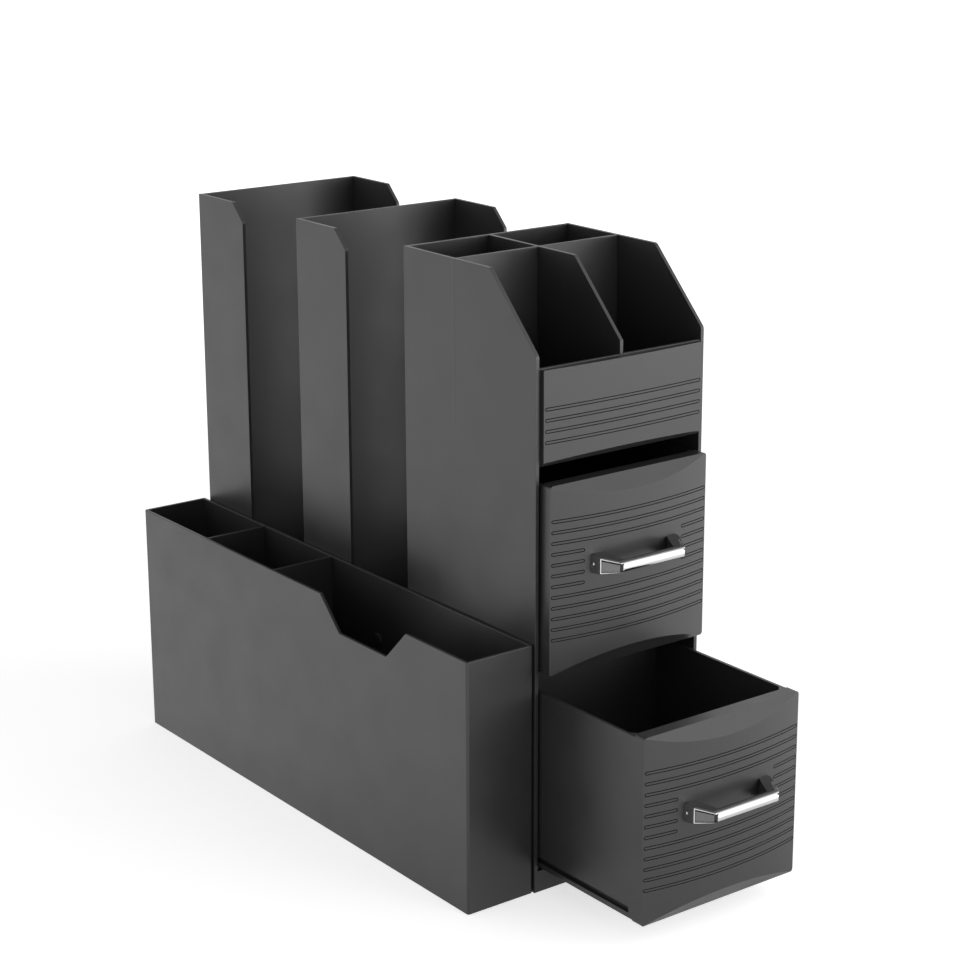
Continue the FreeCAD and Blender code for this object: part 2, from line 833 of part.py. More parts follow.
def make_rivets():
    rivets = []
    head_x = pocket_right_x - pocket_wall
    collar_x = -inner_x
    for y, z in rivet_centres():
        shank = rod(rivet_radius, FreeCAD.Vector(head_x, y, z), FreeCAD.Vector(collar_x, y, z))
        head = rod(
            rivet_head_radius,
            FreeCAD.Vector(head_x - rivet_head_height, y, z),
            FreeCAD.Vector(head_x, y, z),
        )
        collar = rod(
            rivet_collar_radius,
            FreeCAD.Vector(collar_x, y, z),
            FreeCAD.Vector(collar_x + rivet_head_height, y, z),
        )
        spacer = rod(
            rivet_spacer_radius,
            FreeCAD.Vector(pocket_right_x, y, z),
            FreeCAD.Vector(-side_x, y, z),
        )
        rivets.append(joined([shank, head, spacer, collar]))
    nodes["pocket_rivets"] = Part.makeCompound(rivets)


def build():
    make_side_panels()
    make_cross_walls()
    make_base()
    make_compartments()
    make_fixed_front_panel()
    make_drawer("upper", upper_drawer_z, upper_drawer_opening)
    make_drawer("lower", lower_drawer_z, lower_drawer_opening)
    make_guides("upper", upper_drawer_z, front_y + guide_front_setback)
    make_guides("lower", lower_drawer_z, front_y + panel_wall)
    make_pocket()
    make_rivets()


def write():
    os.makedirs("parts", exist_ok=True)
    for name, shape in nodes.items():
        shape.exportStep(os.path.join("parts", name + ".step"))
        print(name, len(shape.Solids), shape.isValid(), round(shape.Volume, 1))


build()
write()
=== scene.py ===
import math

import bmesh
import bpy
from mathutils import Matrix, Vector


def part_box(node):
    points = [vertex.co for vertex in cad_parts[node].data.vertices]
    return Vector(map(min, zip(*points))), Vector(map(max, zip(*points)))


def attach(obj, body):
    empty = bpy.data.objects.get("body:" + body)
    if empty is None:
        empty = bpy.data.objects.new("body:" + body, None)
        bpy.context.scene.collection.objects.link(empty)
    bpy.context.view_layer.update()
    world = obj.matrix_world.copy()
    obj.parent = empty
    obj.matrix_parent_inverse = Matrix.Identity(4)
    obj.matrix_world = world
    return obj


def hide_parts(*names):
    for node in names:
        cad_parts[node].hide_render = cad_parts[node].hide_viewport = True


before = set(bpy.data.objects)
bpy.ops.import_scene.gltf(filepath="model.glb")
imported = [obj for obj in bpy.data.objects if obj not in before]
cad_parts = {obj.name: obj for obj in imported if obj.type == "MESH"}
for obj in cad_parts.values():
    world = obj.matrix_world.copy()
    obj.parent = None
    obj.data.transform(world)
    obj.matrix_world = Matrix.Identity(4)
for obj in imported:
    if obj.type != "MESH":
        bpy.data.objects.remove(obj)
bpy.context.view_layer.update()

# Counter-top coffee organiser in satin dark grey plastic with bright handles.
# Everything is in metres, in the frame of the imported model: X to the right, Y to the back, Z up.
mm = 0.001
scene = bpy.context.scene


# Camera: solved from the straight edges of the housing and the side pocket
camera_place = Vector((-806.3, -1119.6, 599.8)) * mm
camera_turn = math.radians(36.88)
camera_tilt = math.radians(15.98)
camera_roll = math.radians(-0.22)
camera_focal_pixels = 2325.1
camera_axis_row = 462.1
picture_pixels = 960
sensor_width = 36.0

# Finishes
panel_grey = (0.026, 0.026, 0.026)
# The handle brackets are the panel's plastic painted lighter: painted light for the stronger light from
# above on the posts.
bracket_lit_grey = (0.045, 0.045, 0.045)
# Near black painted on the walls of the handle windows as their painted shade.
recess_shade_black = (0.012, 0.012, 0.012)
# Near black painted in the grooves as their painted shadow.
groove_shade_black = (0.004, 0.004, 0.004)
chrome_grey = (0.60, 0.60, 0.60)
# Chrome of the window pads, darkened as painted shade of the sunk windows.
pad_shade_grey = (0.15, 0.15, 0.15)
zinc_grey = (0.55, 0.56, 0.57)
white = (1.0, 1.0, 1.0)

# Satin plastics: colour, roughness, depth share of the grain and radius of the polished edges
plastics = {
    "panel_plastic": (panel_grey, 0.38, 0.25, 0.3 * mm),
    "side_plastic": (panel_grey, 0.38, 0.25, 0.3 * mm),
    "front_plastic": (panel_grey, 0.36, 0.22, 0.15 * mm),
    # Handle brackets: lighter colour as painted light from above.
    "bracket_plastic": (bracket_lit_grey, 0.36, 0.18, 0.3 * mm),
    # Walls of the handle windows: near black as painted shade.
    "recess_plastic": (recess_shade_black, 0.34, 0.15, 0.2 * mm),
}

# Bright metals: colour, and roughness of the smooth and of the dull places
metals = {
    "bright_chrome": (chrome_grey, 0.07, 0.16),
    # Window pads: the chrome darkened as painted shade.
    "satin_chrome": (pad_shade_grey, 0.34, 0.40),
}

# Flow marks, specks and wear of the satin plastics, and the painted highlight on their edges: factors of the
# colour, shares of the surface and changes of roughness
flow_dark = 0.95
flow_light = 1.05
speck_light = 1.35
speck_share = 0.25
speck_range = (0.55, 0.75)
edge_highlight_light = 1.9
edge_highlight_shares = (0.35, 0.8)
handled_polish = 0.04
handled_dulling = 0.05
edge_polish = 0.08
plastic_ior = 1.49

# Grooves, chrome and zinc: factors of the colour, ranges of roughness and depth shares of the bumps
dust_light = 2.5
dust_roughness = (0.65, 0.85)
dust_bump = 0.2
groove_sheen = 0.15
mark_dark = 0.93
wave_bump = 0.12
crystal_dark = 0.8
crystal_roughness = (0.28, 0.42)

# Fine structure of the finishes: usual range of a noise, features to the metre, stretch, and depths
noise_low = 0.3
noise_high = 0.7
flow_scale = 9.0
handled_scale = 38.0
wave_scale = 160.0
dust_scale = 420.0
mark_scale = 900.0
grain_scale = 1500.0
crystal_scale = 1800.0
speck_scale = 2600.0
flow_stretch = (1.0, 1.0, 0.35)
mark_stretch = (0.25, 1.0, 1.0)
grain_depth = 0.03 * mm
wave_depth = 0.2 * mm
chrome_edge_radius = 0.4 * mm
zinc_edge_radius = 0.15 * mm
edge_range = (0.8, 0.995)
bevel_samples = 6

# Sink marks in front of the dividers
sink_half_width = 1.4 * mm
sink_depth = 0.06 * mm
sink_fade = 12.0 * mm

# Rounded edges and smooth shading
quarter_turn = math.radians(90)
arc_steps = 6
dome_steps = 5
panel_edge_radius = 0.35 * mm
handle_edge_radius = 0.3 * mm
sharp_angle = math.radians(40)
smooth_angle = math.radians(34)
weld_distance = 0.002 * mm
overshoot = 1.0 * mm

# Studio
world_light = 0.5
ceiling_start = 0.5
ceiling_end = 0.92
ceiling_level = 0.5
# The floor glows only in reflections, dimmer round this centre in front of the drawers as a painted shadow.
reflected_shadow_centre = (0.05, -0.25, 0.0)
floor_near = 0.4
floor_far = 1.0
floor_start = 0.05
floor_end = 0.42
floor_white_near = 0.65
floor_tones = ((0.84, 0.84, 0.84), (0.86, 0.86, 0.86))
floor_tone_scale = 3.0
floor_roughness = 0.9
floor_half_size = 12.0
floor_drop = 0.2 * mm
backdrop_start = 0.7
backdrop_end = 1.7

# Lamps: place, target, width and height in metres, and power in watts
lamps = {
    "left_panel": ((-1.8, 0.6, 0.5), (0.0, 0.0, 0.1), (1.5, 0.9), 3.5),
    "right_panel": ((0.9, -1.8, 0.4), (0.0, -0.1, 0.1), (2.6, 0.6), 20.0),
    "high_panel": ((0.9, -1.2, 1.15), (0.1, -0.4, 0.0), (1.5, 1.5), 8.0),
}

# Curved fronts
drawer_front_bulge = 6.2 * mm
drawer_bevel_rise = 1.5
drawer_corner_radius = 2.0 * mm
fixed_panel_bulge = 2.0 * mm
fixed_panel_bevel_rise = 0.85
front_steps = 96
corner_steps = 6
face_tolerance = 0.02 * mm
same_direction = 0.999

# Grooves on the fronts
groove_pitch = 6.2 * mm
groove_height = 2.1 * mm
groove_line_width = 0.5 * mm
groove_line_depth = 0.6 * mm
groove_edge_margin = 0.8 * mm
groove_step = 2.4 * mm
groove_end_steps = 4
groove_end_rounding = 0.49
groove_break_half_width = 35.0 * mm

# Rows of grooves: count, height of the first above the plate's lower edge, first and last broken row
drawer_rows = (12, 89.2 * mm, 3, 6)
fixed_rows = (4, 32.3 * mm, 4, 4)

# Drawer boxes
drawer_wall = 2.0 * mm
drawer_gusset = 4.0 * mm
runner_flange = 3.0 * mm
runner_slot_height = 3.4 * mm
runner_slot_depth = 3.0 * mm
runner_slot_front_offset = 3.0 * mm
box_lap = 3.0 * mm
box_edge_radius = 0.25 * mm

# Handles
handle_height = 62.1 * mm
handle_reach = 22.0 * mm
handle_post_reach = 10.2 * mm
handle_post_half_width = 29.5 * mm
handle_bar_half_width = 22.5 * mm
handle_bar_height = 5.8 * mm
handle_bar_crown = 2.2 * mm
handle_post_top = 3.9 * mm
handle_post_bottom = 5.1 * mm
trim_leg_thickness = 2.0 * mm
trim_bar_depth = 3.6 * mm
trim_corner_radius = 3.2 * mm
trim_edge_radius = 0.6 * mm
crown_steps = 20
window_depth = 1.3 * mm
window_frame = 0.65 * mm
window_post_margin = 0.7 * mm
window_bar_margin = 0.3 * mm
pad_depth = 0.7 * mm
pad_top_gap = 1.1 * mm
pad_bar_gap = 2.0 * mm
pad_root = 0.2 * mm
trim_root = 0.2 * mm

# Pins, screws and rivets
pin_radius = 1.1 * mm
pin_length = 2.25 * mm
pin_dome = 0.3 * mm
pin_chamfer = 0.15 * mm
screw_radius = 1.4 * mm
screw_head_radius = 3.0 * mm
screw_head_height = 1.8 * mm
screw_thread_pitch = 1.0 * mm
screw_thread_depth = 0.2 * mm
screw_recess_width = 0.8 * mm
screw_recess_length = 3.6 * mm
screw_recess_depth = 0.9 * mm
screw_spacing = 52.0 * mm
rivet_radius = 2.0 * mm
rivet_head_radius = 4.0 * mm
rivet_head_height = 1.2 * mm
rivet_collar_radius = 3.2 * mm
rivet_spacer_radius = 5.0 * mm
rivet_spacer_length = 0.6 * mm
turned_steps = 28
no_step = (0.0, 0.0, 0.0)

# Side pocket
pocket_wall = 2.0 * mm
pocket_floor = 2.2 * mm
pocket_corner_radius = 1.5 * mm
notch_centre_y = -72.8 * mm
notch_top_width = 87.0 * mm
notch_bottom_width = 48.0 * mm
notch_depth = 19.5 * mm
notch_corner_radius = 2.0 * mm

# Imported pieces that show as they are, with rounded edges
plain_nodes = [
    "left_side_panel", "right_side_panel", "back_wall", "cup_bay_divider", "tower_rear_wall",
    "base_panel", "bottom_front_rail", "compartment_front_wall", "compartment_floor",
    "cross_divider", "centre_divider", "pocket_front_divider", "pocket_rear_divider",
    "right_upper_guide", "left_upper_guide", "right_lower_guide", "left_lower_guide",
]


# Node trees

class NodeSteps:
    """A node tree, with short names for the steps that finishes, shapes and studio share."""

    def __init__(self, tree):
        self.tree = tree

    def node(self, kind, **settings):
        made = self.tree.nodes.new(kind)
        for key, value in settings.items():
            setattr(made, key, value)
        return made

    def feed(self, node, inputs):
        """Gives a node its inputs, by name or place. Each is a value, or the output that feeds it."""
        for key, value in inputs.items():
            socket = node.inputs[key]
            if isinstance(value, bpy.types.NodeSocket):
                self.tree.links.new(value, socket)
            elif socket.type == "RGBA":
                socket.default_value = (*value, 1.0)
            else:
                socket.default_value = value

    def add(self, kind, inputs, output=0, **settings):
        """One output of a new node, by name or place."""
        made = self.node(kind, **settings)
        self.feed(made, inputs)
        return made.outputs[output]

    def maths(self, operation, first, second=0.0):
        return self.add("ShaderNodeMath", {0: first, 1: second}, operation=operation)

    def axes(self, place):
        parts = self.node("ShaderNodeSeparateXYZ")
        self.feed(parts, {0: place})
        return parts.outputs

    def spread(self, value, low, high, start=noise_low, end=noise_high, interpolation="LINEAR"):
        """Stretches a value from start..end to low..high."""
        inputs = {"Value": value, "From Min": start, "From Max": end, "To Min": low, "To Max": high}
        return self.add("ShaderNodeMapRange", inputs, "Result", interpolation_type=interpolation)

    def rays(self, *kinds):
        """1 for these kinds of ray, and 0 for all others."""
        path = self.node("ShaderNodeLightPath")
        total = path.outputs[kinds[0]]
        for kind in kinds[1:]:
            total = self.maths("MAXIMUM", total, path.outputs[kind])
        return total


class Shader(NodeSteps):
    """One material's node tree."""

    def __init__(self, name):
        self.material = bpy.data.materials.new(name)
        self.material.use_nodes = True
        super().__init__(self.material.node_tree)
        self.position = self.add("ShaderNodeTexCoord", {}, "Object")

    def finish(self, inputs):
        """The material, with these inputs on its surface."""
        self.feed(self.tree.nodes["Principled BSDF"], inputs)
        return self.material

    def noise(self, scale, detail=2.0, stretch=None):
        """Noise between 0 and 1, with about this many features to the metre."""
        source = self.position
        if stretch:
            source = self.add("ShaderNodeMapping", {"Vector": source, "Scale": stretch})
        return self.add("ShaderNodeTexNoise", {"Vector": source, "Scale": scale, "Detail": detail}, "Fac")

    def mix(self, share, first, second):
        """Colour between first and second."""
        mixed = self.node("ShaderNodeMix", data_type="RGBA")
        low, high = [place for place, socket in enumerate(mixed.inputs) if socket.type == "RGBA"]
        self.feed(mixed, {"Factor": share, low: first, high: second})
        return [socket for socket in mixed.outputs if socket.type == "RGBA"][0]

    def mottled(self, pattern, first, second):
        """Colour that changes from first to second with a noise."""
        return self.mix(self.spread(pattern, 0.0, 1.0), first, second)

    def bump(self, height, strength, distance, after=None):
        inputs = {"Height": height, "Strength": strength, "Distance": distance}
        if after:
            inputs["Normal"] = after
        return self.add("ShaderNodeBump", inputs)

    def rounded_normal(self, radius):
        return self.add("ShaderNodeBevel", {"Radius": radius}, samples=bevel_samples)

    def sharpness(self, rounded):
        """Near 1 where the rounded normal leaves the surface's own, on edges, and 0 on flat faces."""
        own = self.add("ShaderNodeNewGeometry", {}, "Normal")
        alike = self.add("ShaderNodeVectorMath", {0: rounded, 1: own}, "Value", operation="DOT_PRODUCT")
        return self.spread(alike, 1.0, 0.0, *edge_range)

    def sink_mark(self, divider):
        """1 in front of the middle of a divider behind the panel, and 0 a little away from it."""
        low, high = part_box(divider)
        place = self.axes(self.position)
        offset = self.maths("SUBTRACT", place["Y"], (low.y + high.y) / 2)
        beside = self.spread(self.maths("ABSOLUTE", offset), 1.0, 0.0, 0.0, sink_half_width)
        above = self.spread(place["Z"], 0.0, 1.0, low.z, low.z + sink_fade)
        return self.maths("MULTIPLY", beside, above)


# Finishes

def tinted(colour, factor):
    return tuple(channel * factor for channel in colour)


def satin_plastic(name, divider=None):
    """Moulded plastic with a fine grain, faint flow marks, polished edges with a painted highlight along
    them, and the sink mark of a divider.
    """
    colour, roughness, grain_bump, edge_radius = plastics[name]
    shader = Shader(name)
    flow = shader.noise(flow_scale, 3.0, flow_stretch)
    speck = shader.noise(speck_scale, 1.0)
    grain = shader.noise(grain_scale)
    handled = shader.noise(handled_scale, 4.0)
    rounded = shader.rounded_normal(edge_radius)
    edge = shader.sharpness(rounded)

    body = shader.mottled(flow, tinted(colour, flow_dark), tinted(colour, flow_light))
    specks = shader.spread(speck, 0.0, speck_share, *speck_range)
    body = shader.mix(specks, body, tinted(colour, speck_light))
    # Edges painted lighter as a painted highlight, stronger on some stretches than others.
    painted_edge_highlight = shader.maths("MULTIPLY", edge, shader.spread(handled, *edge_highlight_shares))
    dull = shader.spread(handled, roughness - handled_polish, roughness + handled_dulling)
    if divider:
        rounded = shader.bump(shader.sink_mark(divider), 1.0, sink_depth, rounded)
    return shader.finish({
        "Base Color": shader.mix(painted_edge_highlight, body, tinted(colour, edge_highlight_light)),
        "Roughness": shader.maths("SUBTRACT", dull, shader.maths("MULTIPLY", edge, edge_polish)),
        "IOR": plastic_ior,
        "Normal": shader.bump(grain, grain_bump, grain_depth, rounded),
    })


def line_shadow(name):
    """Bottom and walls of the fine outlined grooves, painted near black as their shadow, with a mottle of
    dust.
    """
    shader = Shader(name)
    dust = shader.noise(dust_scale, 3.0)
    return shader.finish({
        "Base Color": shader.mottled(dust, groove_shade_black, tinted(groove_shade_black, dust_light)),
        "Roughness": shader.spread(dust, *dust_roughness),
        "Specular IOR Level": groove_sheen,
        "Normal": shader.bump(dust, dust_bump, grain_depth),
    })


def bright_metal(name):
    """Chrome plating over plastic: a mirror with faint waves and fine handling marks."""
    colour, smooth, dull = metals[name]
    shader = Shader(name)
    wave = shader.noise(wave_scale, 1.0)
    marks = shader.noise(mark_scale, 3.0, mark_stretch)
    rounded = shader.rounded_normal(chrome_edge_radius)
    return shader.finish({
        "Base Color": shader.mottled(marks, colour, tinted(colour, mark_dark)),
        "Roughness": shader.spread(marks, smooth, dull),
        "Metallic": 1.0,
        "Normal": shader.bump(wave, wave_bump, wave_depth, rounded),
    })


def zinc_plate(name):
    """Zinc-plated steel of the hidden screws."""
    shader = Shader(name)
    crystals = shader.noise(crystal_scale, 3.0)
    return shader.finish({
        "Base Color": shader.mottled(crystals, zinc_grey, tinted(zinc_grey, crystal_dark)),
        "Roughness": shader.spread(crystals, *crystal_roughness),
        "Metallic": 1.0,
        "Normal": shader.rounded_normal(zinc_edge_radius),
    })


def paint(node, material):
    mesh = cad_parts[node].data
    mesh.materials.clear()
    mesh.materials.append(material)


def add_radius(piece, radius, segments):
    """Small real radius on the sharp edges of a piece."""
    bevel = piece.modifiers.new("moulded_radius", "BEVEL")
    bevel.width = radius
    bevel.segments = segments
    bevel.limit_method = "ANGLE"
    bevel.angle_limit = sharp_angle


def round_edges(piece, radius):
    """The radius, with welded faces before it and even shading after it."""
    weld = piece.modifiers.new("joined_faces", "WELD")
    weld.merge_threshold = weld_distance
    add_radius(piece, radius, 2)
    piece.modifiers.new("even_shading", "WEIGHTED_NORMAL")


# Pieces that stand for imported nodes

def placed(data, name=None):
    """New object in the scene, of this mesh, lamp or camera."""
    made = bpy.data.objects.new(name or data.name, data)
    scene.collection.objects.link(made)
    return made


def add_piece(mesh, name, body, replaced):
    """Puts a finished mesh on its body, in place of the nodes it stands for."""
    piece = placed(mesh, name)
    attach(piece, body)
    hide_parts(*replaced)
    return piece


# Plain solids from outlines

def rounded_outline(points):
    """Corner points of a closed outline, with arcs where a point (u, v, radius) asks for one."""
    outline = []
    count = len(points)
    for index, (u, v, radius) in enumerate(points):
        here = Vector((u, v))
        if radius == 0:
            outline.append(here)
            continue
        back = (Vector(points[index - 1][:2]) - here).normalized()
        ahead = (Vector(points[(index + 1) % count][:2]) - here).normalized()
        half_angle = back.angle(ahead) / 2
        centre = here + (back + ahead).normalized() * (radius / math.sin(half_angle))
        start = here + back * (radius / math.tan(half_angle)) - centre
        sweep = start.angle_signed(here + ahead * (radius / math.tan(half_angle)) - centre)
        for step in range(arc_steps + 1):
            turned = start.copy()
            turned.rotate(Matrix.Rotation(-sweep * step / arc_steps, 2))
            outline.append(centre + turned)
    return outline


def rectangle(x0, x1, y0, y1, radius=0.0):
    return [(x0, y0, radius), (x1, y0, radius), (x1, y1, radius), (x0, y1, radius)]


def closed_mesh(shape, name):
    """The edited shape as a mesh, with its faces turned outward."""
    bmesh.ops.recalc_face_normals(shape, faces=shape.faces)
    mesh = bpy.data.meshes.new(name)
    shape.to_mesh(mesh)
    shape.free()
    return mesh


def ring_solid(rings, name):
    """Closed mesh through rings of points, with the first and the last ring as its ends."""
    shape = bmesh.new()
    levels = [[shape.verts.new(point) for point in ring] for ring in rings]
    for first, second in zip(levels, levels[1:]):
        for index in range(len(first)):
            following = (index + 1) % len(first)
            shape.faces.new((first[index], first[following], second[following], second[index]))
    shape.faces.new(levels[0])
    shape.faces.new(levels[-1])
    bmesh.ops.remove_doubles(shape, verts=shape.verts, dist=weld_distance)
    return closed_mesh(shape, name)


def outline_solid(points, axis, low, high, name):
    """Mesh of this flat outline, from low to high along X or Z."""
    flat = rounded_outline(points)
    if axis == "X":
        rings = [[(level, point.x, point.y) for point in flat] for level in (low, high)]
    else:
        rings = [[(point.x, point.y, level) for point in flat] for level in (low, high)]
    return ring_solid(rings, name)


def plain_mesh(piece, name):
    """The piece as its modifiers leave it, as a plain mesh. The piece itself is removed."""
    bpy.context.view_layer.update()
    evaluated = piece.evaluated_get(bpy.context.evaluated_depsgraph_get())
    mesh = bpy.data.meshes.new_from_object(evaluated)
    mesh.name = name
    bpy.data.objects.remove(piece)
    return mesh


def combined(mesh, tools, operation, name):
    """The mesh joined with the tools, cut by them or cut to them. New faces keep their tool's finish."""
    body = placed(mesh)
    helpers = [placed(tool) for tool in tools]
    for helper in helpers:
        step = body.modifiers.new("combine", "BOOLEAN")
        step.operation = operation
        step.solver = "MANIFOLD"
        step.material_mode = "TRANSFER"
        step.object = helper
    made = plain_mesh(body, name)
    for helper in helpers:
        bpy.data.objects.remove(helper)
    return made


def cut_away(mesh, cutters, name):
    return combined(mesh, cutters, "DIFFERENCE", name)


def bevelled(mesh, radius, segments):
    """The mesh with a small radius on its sharp edges."""
    body = placed(mesh)
    add_radius(body, radius, segments)
    return plain_mesh(body, mesh.name)


def painted(mesh, material):
    mesh.materials.clear()
    mesh.materials.append(material)
    return mesh


def make_pocket(material):
    """The side pocket as the one moulding it is: floor, four walls and the finger notch."""
    tray_low, tray_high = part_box("pocket_tray")
    left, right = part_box("pocket_outer_wall")[0].x, tray_high.x
    front, back = tray_low.y, tray_high.y
    top = tray_high.z
    plan = rectangle(left, right, front, back, pocket_corner_radius)
    hollow = rectangle(left + pocket_wall, right - pocket_wall, front + pocket_wall, back - pocket_wall)
    slope = (notch_top_width - notch_bottom_width) / 2 / notch_depth
    top_half = notch_top_width / 2 + slope * overshoot
    bottom_half = notch_bottom_width / 2
    notch = [
        (notch_centre_y - top_half, top + overshoot, 0.0),
        (notch_centre_y - bottom_half, top - notch_depth, notch_corner_radius),
        (notch_centre_y + bottom_half, top - notch_depth, notch_corner_radius),
        (notch_centre_y + top_half, top + overshoot, 0.0),
    ]
    shell = cut_away(
        outline_solid(plan, "Z", tray_low.z, top, "pocket_outside"),
        [
            outline_solid(hollow, "Z", pocket_floor, top + overshoot, "pocket_hollow"),
            outline_solid(notch, "X", left - overshoot, left + 2 * pocket_wall, "pocket_notch"),
        ],
        "pocket_moulding",
    )
    painted(shell, material).shade_smooth()
    piece = add_piece(
        shell, "pocket_moulding", "housing", ["pocket_tray", "pocket_outer_wall"],
    )
    round_edges(piece, panel_edge_radius)


# Curved front plates

class FrontPlate:
    """Place and curve of one front plate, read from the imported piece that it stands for."""

    def __init__(self, node, bulge):
        low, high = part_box(node)
        self.half_width = (high.x - low.x) / 2
        self.bottom, self.top = low.z, high.z
        self.back = high.y
        self.edge = low.y + bulge
        self.radius = (self.half_width ** 2 + bulge ** 2) / (2 * bulge)
        self.axis_y = low.y + self.radius

    def face_y(self, x):
        """Where the curved face lies at this distance from the middle."""
        return self.axis_y - math.sqrt(self.radius ** 2 - x ** 2)

    def holds(self, face):
        """Whether a mesh face lies on the plate's curved face."""
        outward = Vector((face.center.x, face.center.y - self.axis_y, 0.0))
        near = abs(outward.length - self.radius) < face_tolerance
        return near and face.normal.dot(outward.normalized()) > same_direction

    def columns(self, corner_radius):
        """Places across the plate, and how far its rounded corners lift the lower edge at each."""
        flat = self.half_width - corner_radius
        places = [(flat * (2 * step / front_steps - 1), 0.0) for step in range(front_steps + 1)]
        if corner_radius == 0:
            return places
        for step in range(1, corner_steps + 1):
            angle = quarter_turn * step / corner_steps
            reach = flat + corner_radius * math.sin(angle)
            lift = corner_radius * (1 - math.cos(angle))
            places.append((reach, lift))
            places.insert(0, (-reach, lift))
        return places


def drawer_section(plate, x, lift):
    """Section of a drawer's plate: flat below and above, bevelled towards its swelling face."""
    face_y = plate.face_y(x)
    heel_y = max(face_y, plate.edge - lift / drawer_bevel_rise)
    bevel = max(drawer_bevel_rise * (plate.edge - face_y), lift)
    return [
        (plate.back, plate.bottom + lift), (heel_y, plate.bottom + lift), (face_y, plate.bottom + bevel),
        (face_y, plate.top - bevel), (heel_y, plate.top - lift), (plate.back, plate.top - lift),
    ]


def fixed_section(plate, x, lift):
    """Section of the fixed panel, whose underside rises towards its face."""
    face_y = plate.face_y(x)
    bevel = fixed_panel_bevel_rise * (plate.back - face_y)
    return [
        (plate.back, plate.bottom + lift), (face_y, plate.bottom + lift + bevel),
        (face_y, plate.top - lift), (plate.back, plate.top - lift),
    ]


def lofted(plate, section, corner_radius, name):
    """Closed mesh of a front plate, through its sections from left to right."""
    columns = [(x, section(plate, x, lift)) for x, lift in plate.columns(corner_radius)]
    return ring_solid([[(x, y, z) for y, z in points] for x, points in columns], name)


def exact_normals(mesh, plate=None):
    """Normals smoothed over small angles by area, with cylinder normals on a plate's curved face."""
    mesh.shade_smooth()
    touching = [[] for _ in mesh.vertices]
    curved = set()
    for face in mesh.polygons:
        if plate and plate.holds(face):
            curved.add(face.index)
            continue
        for vertex in face.vertices:
            touching[vertex].append(face)
    limit = math.cos(smooth_angle)
    normals = [None] * len(mesh.loops)
    for face in mesh.polygons:
        for loop in face.loop_indices:
            vertex = mesh.loops[loop].vertex_index
            if face.index in curved:
                corner = mesh.vertices[vertex].co
                normals[loop] = Vector((corner.x, corner.y - plate.axis_y, 0.0)).normalized()
                continue
            total = Vector((0.0, 0.0, 0.0))
            for neighbour in touching[vertex]:
                if neighbour.normal.dot(face.normal) > limit:
                    total += neighbour.normal * neighbour.area
            normals[loop] = total.normalized() if total.length > 0 else face.normal
    mesh.normals_split_custom_set(normals)


# Node trees that build what repeats

class ShapeTree(NodeSteps):
    """A geometry node tree with named inputs."""

    def __init__(self, name, inputs):
        super().__init__(bpy.data.node_groups.new(name, "GeometryNodeTree"))
        self.sockets = {}
        interface = self.tree.interface
        interface.new_socket("Geometry", in_out="INPUT", socket_type="NodeSocketGeometry")
        for label, kind in inputs.items():
            made = interface.new_socket(label, in_out="INPUT", socket_type="NodeSocket" + kind)
            self.sockets[label] = made.identifier
        interface.new_socket("Geometry", in_out="OUTPUT", socket_type="NodeSocketGeometry")
        self.entry = self.node("NodeGroupInput")

    def given(self, label):
        return self.entry.outputs[label]

    def finish(self, geometry):
        """Ends the tree: real geometry with its finish."""
        real = self.add("GeometryNodeRealizeInstances", {"Geometry": geometry})
        coated = self.add("GeometryNodeSetMaterial", {"Geometry": real, "Material": self.given("Finish")})
        self.feed(self.node("NodeGroupOutput"), {"Geometry": coated})

    def build(self, name, values):
        """Plain mesh that the tree makes with these values."""
        carrier = placed(bpy.data.meshes.new(name))
        step = carrier.modifiers.new(name, "NODES")
        step.node_group = self.tree
        for label, value in values.items():
            step[self.sockets[label]] = value
        mesh = painted(plain_mesh(carrier, name), values["Finish"])
        mesh.polygons.foreach_set("material_index", [0] * len(mesh.polygons))
        return mesh


def groove_ring(tree, length, centre_x):
    """Bar bent round a long slot shape and laid on the front's cylinder."""
    width = tree.given("Line Width")
    height = tree.maths("SUBTRACT", tree.given("Groove Height"), width)
    outline = tree.add(
        "GeometryNodeCurvePrimitiveQuadrilateral",
        {"Width": tree.maths("SUBTRACT", length, width), "Height": height},
    )
    rounded = tree.add(
        "GeometryNodeFilletCurve",
        {
            "Curve": outline, "Count": groove_end_steps,
            "Radius": tree.maths("MULTIPLY", height, groove_end_rounding),
        },
        mode="POLY",
    )
    index = tree.add("GeometryNodeInputIndex", {})
    place = tree.add("GeometryNodeInputPosition", {})
    points = tree.add(
        "GeometryNodeAttributeDomainSize", {"Geometry": rounded}, "Point Count", component="CURVE",
    )
    following = tree.maths("MODULO", tree.maths("ADD", index, 1.0), points)
    ahead = tree.add(
        "GeometryNodeFieldAtIndex", {"Index": following, "Value": place},
        data_type="FLOAT_VECTOR", domain="POINT",
    )
    gap = tree.add("ShaderNodeVectorMath", {0: place, 1: ahead}, "Value", operation="DISTANCE")
    cuts = tree.maths("FLOOR", tree.maths("DIVIDE", gap, tree.given("Step")))
    fine = tree.add("GeometryNodeSubdivideCurve", {"Curve": rounded, "Cuts": cuts})
    section = tree.add(
        "GeometryNodeCurvePrimitiveQuadrilateral",
        {"Width": width, "Height": tree.maths("MULTIPLY", tree.given("Line Depth"), 2.0)},
    )
    bar = tree.add("GeometryNodeCurveToMesh", {"Curve": fine, "Profile Curve": section})
    flat = tree.axes(place)
    x = tree.maths("ADD", flat["X"], centre_x)
    radius = tree.given("Radius")
    inside = tree.maths("SUBTRACT", tree.maths("MULTIPLY", radius, radius), tree.maths("MULTIPLY", x, x))
    surface_y = tree.maths("SUBTRACT", tree.given("Axis Y"), tree.maths("SQRT", inside))
    y = tree.maths("SUBTRACT", surface_y, flat["Z"])
    laid = tree.add("ShaderNodeCombineXYZ", {"X": x, "Y": y, "Z": flat["Y"]})
    return tree.add("GeometryNodeSetPosition", {"Geometry": bar, "Position": laid})


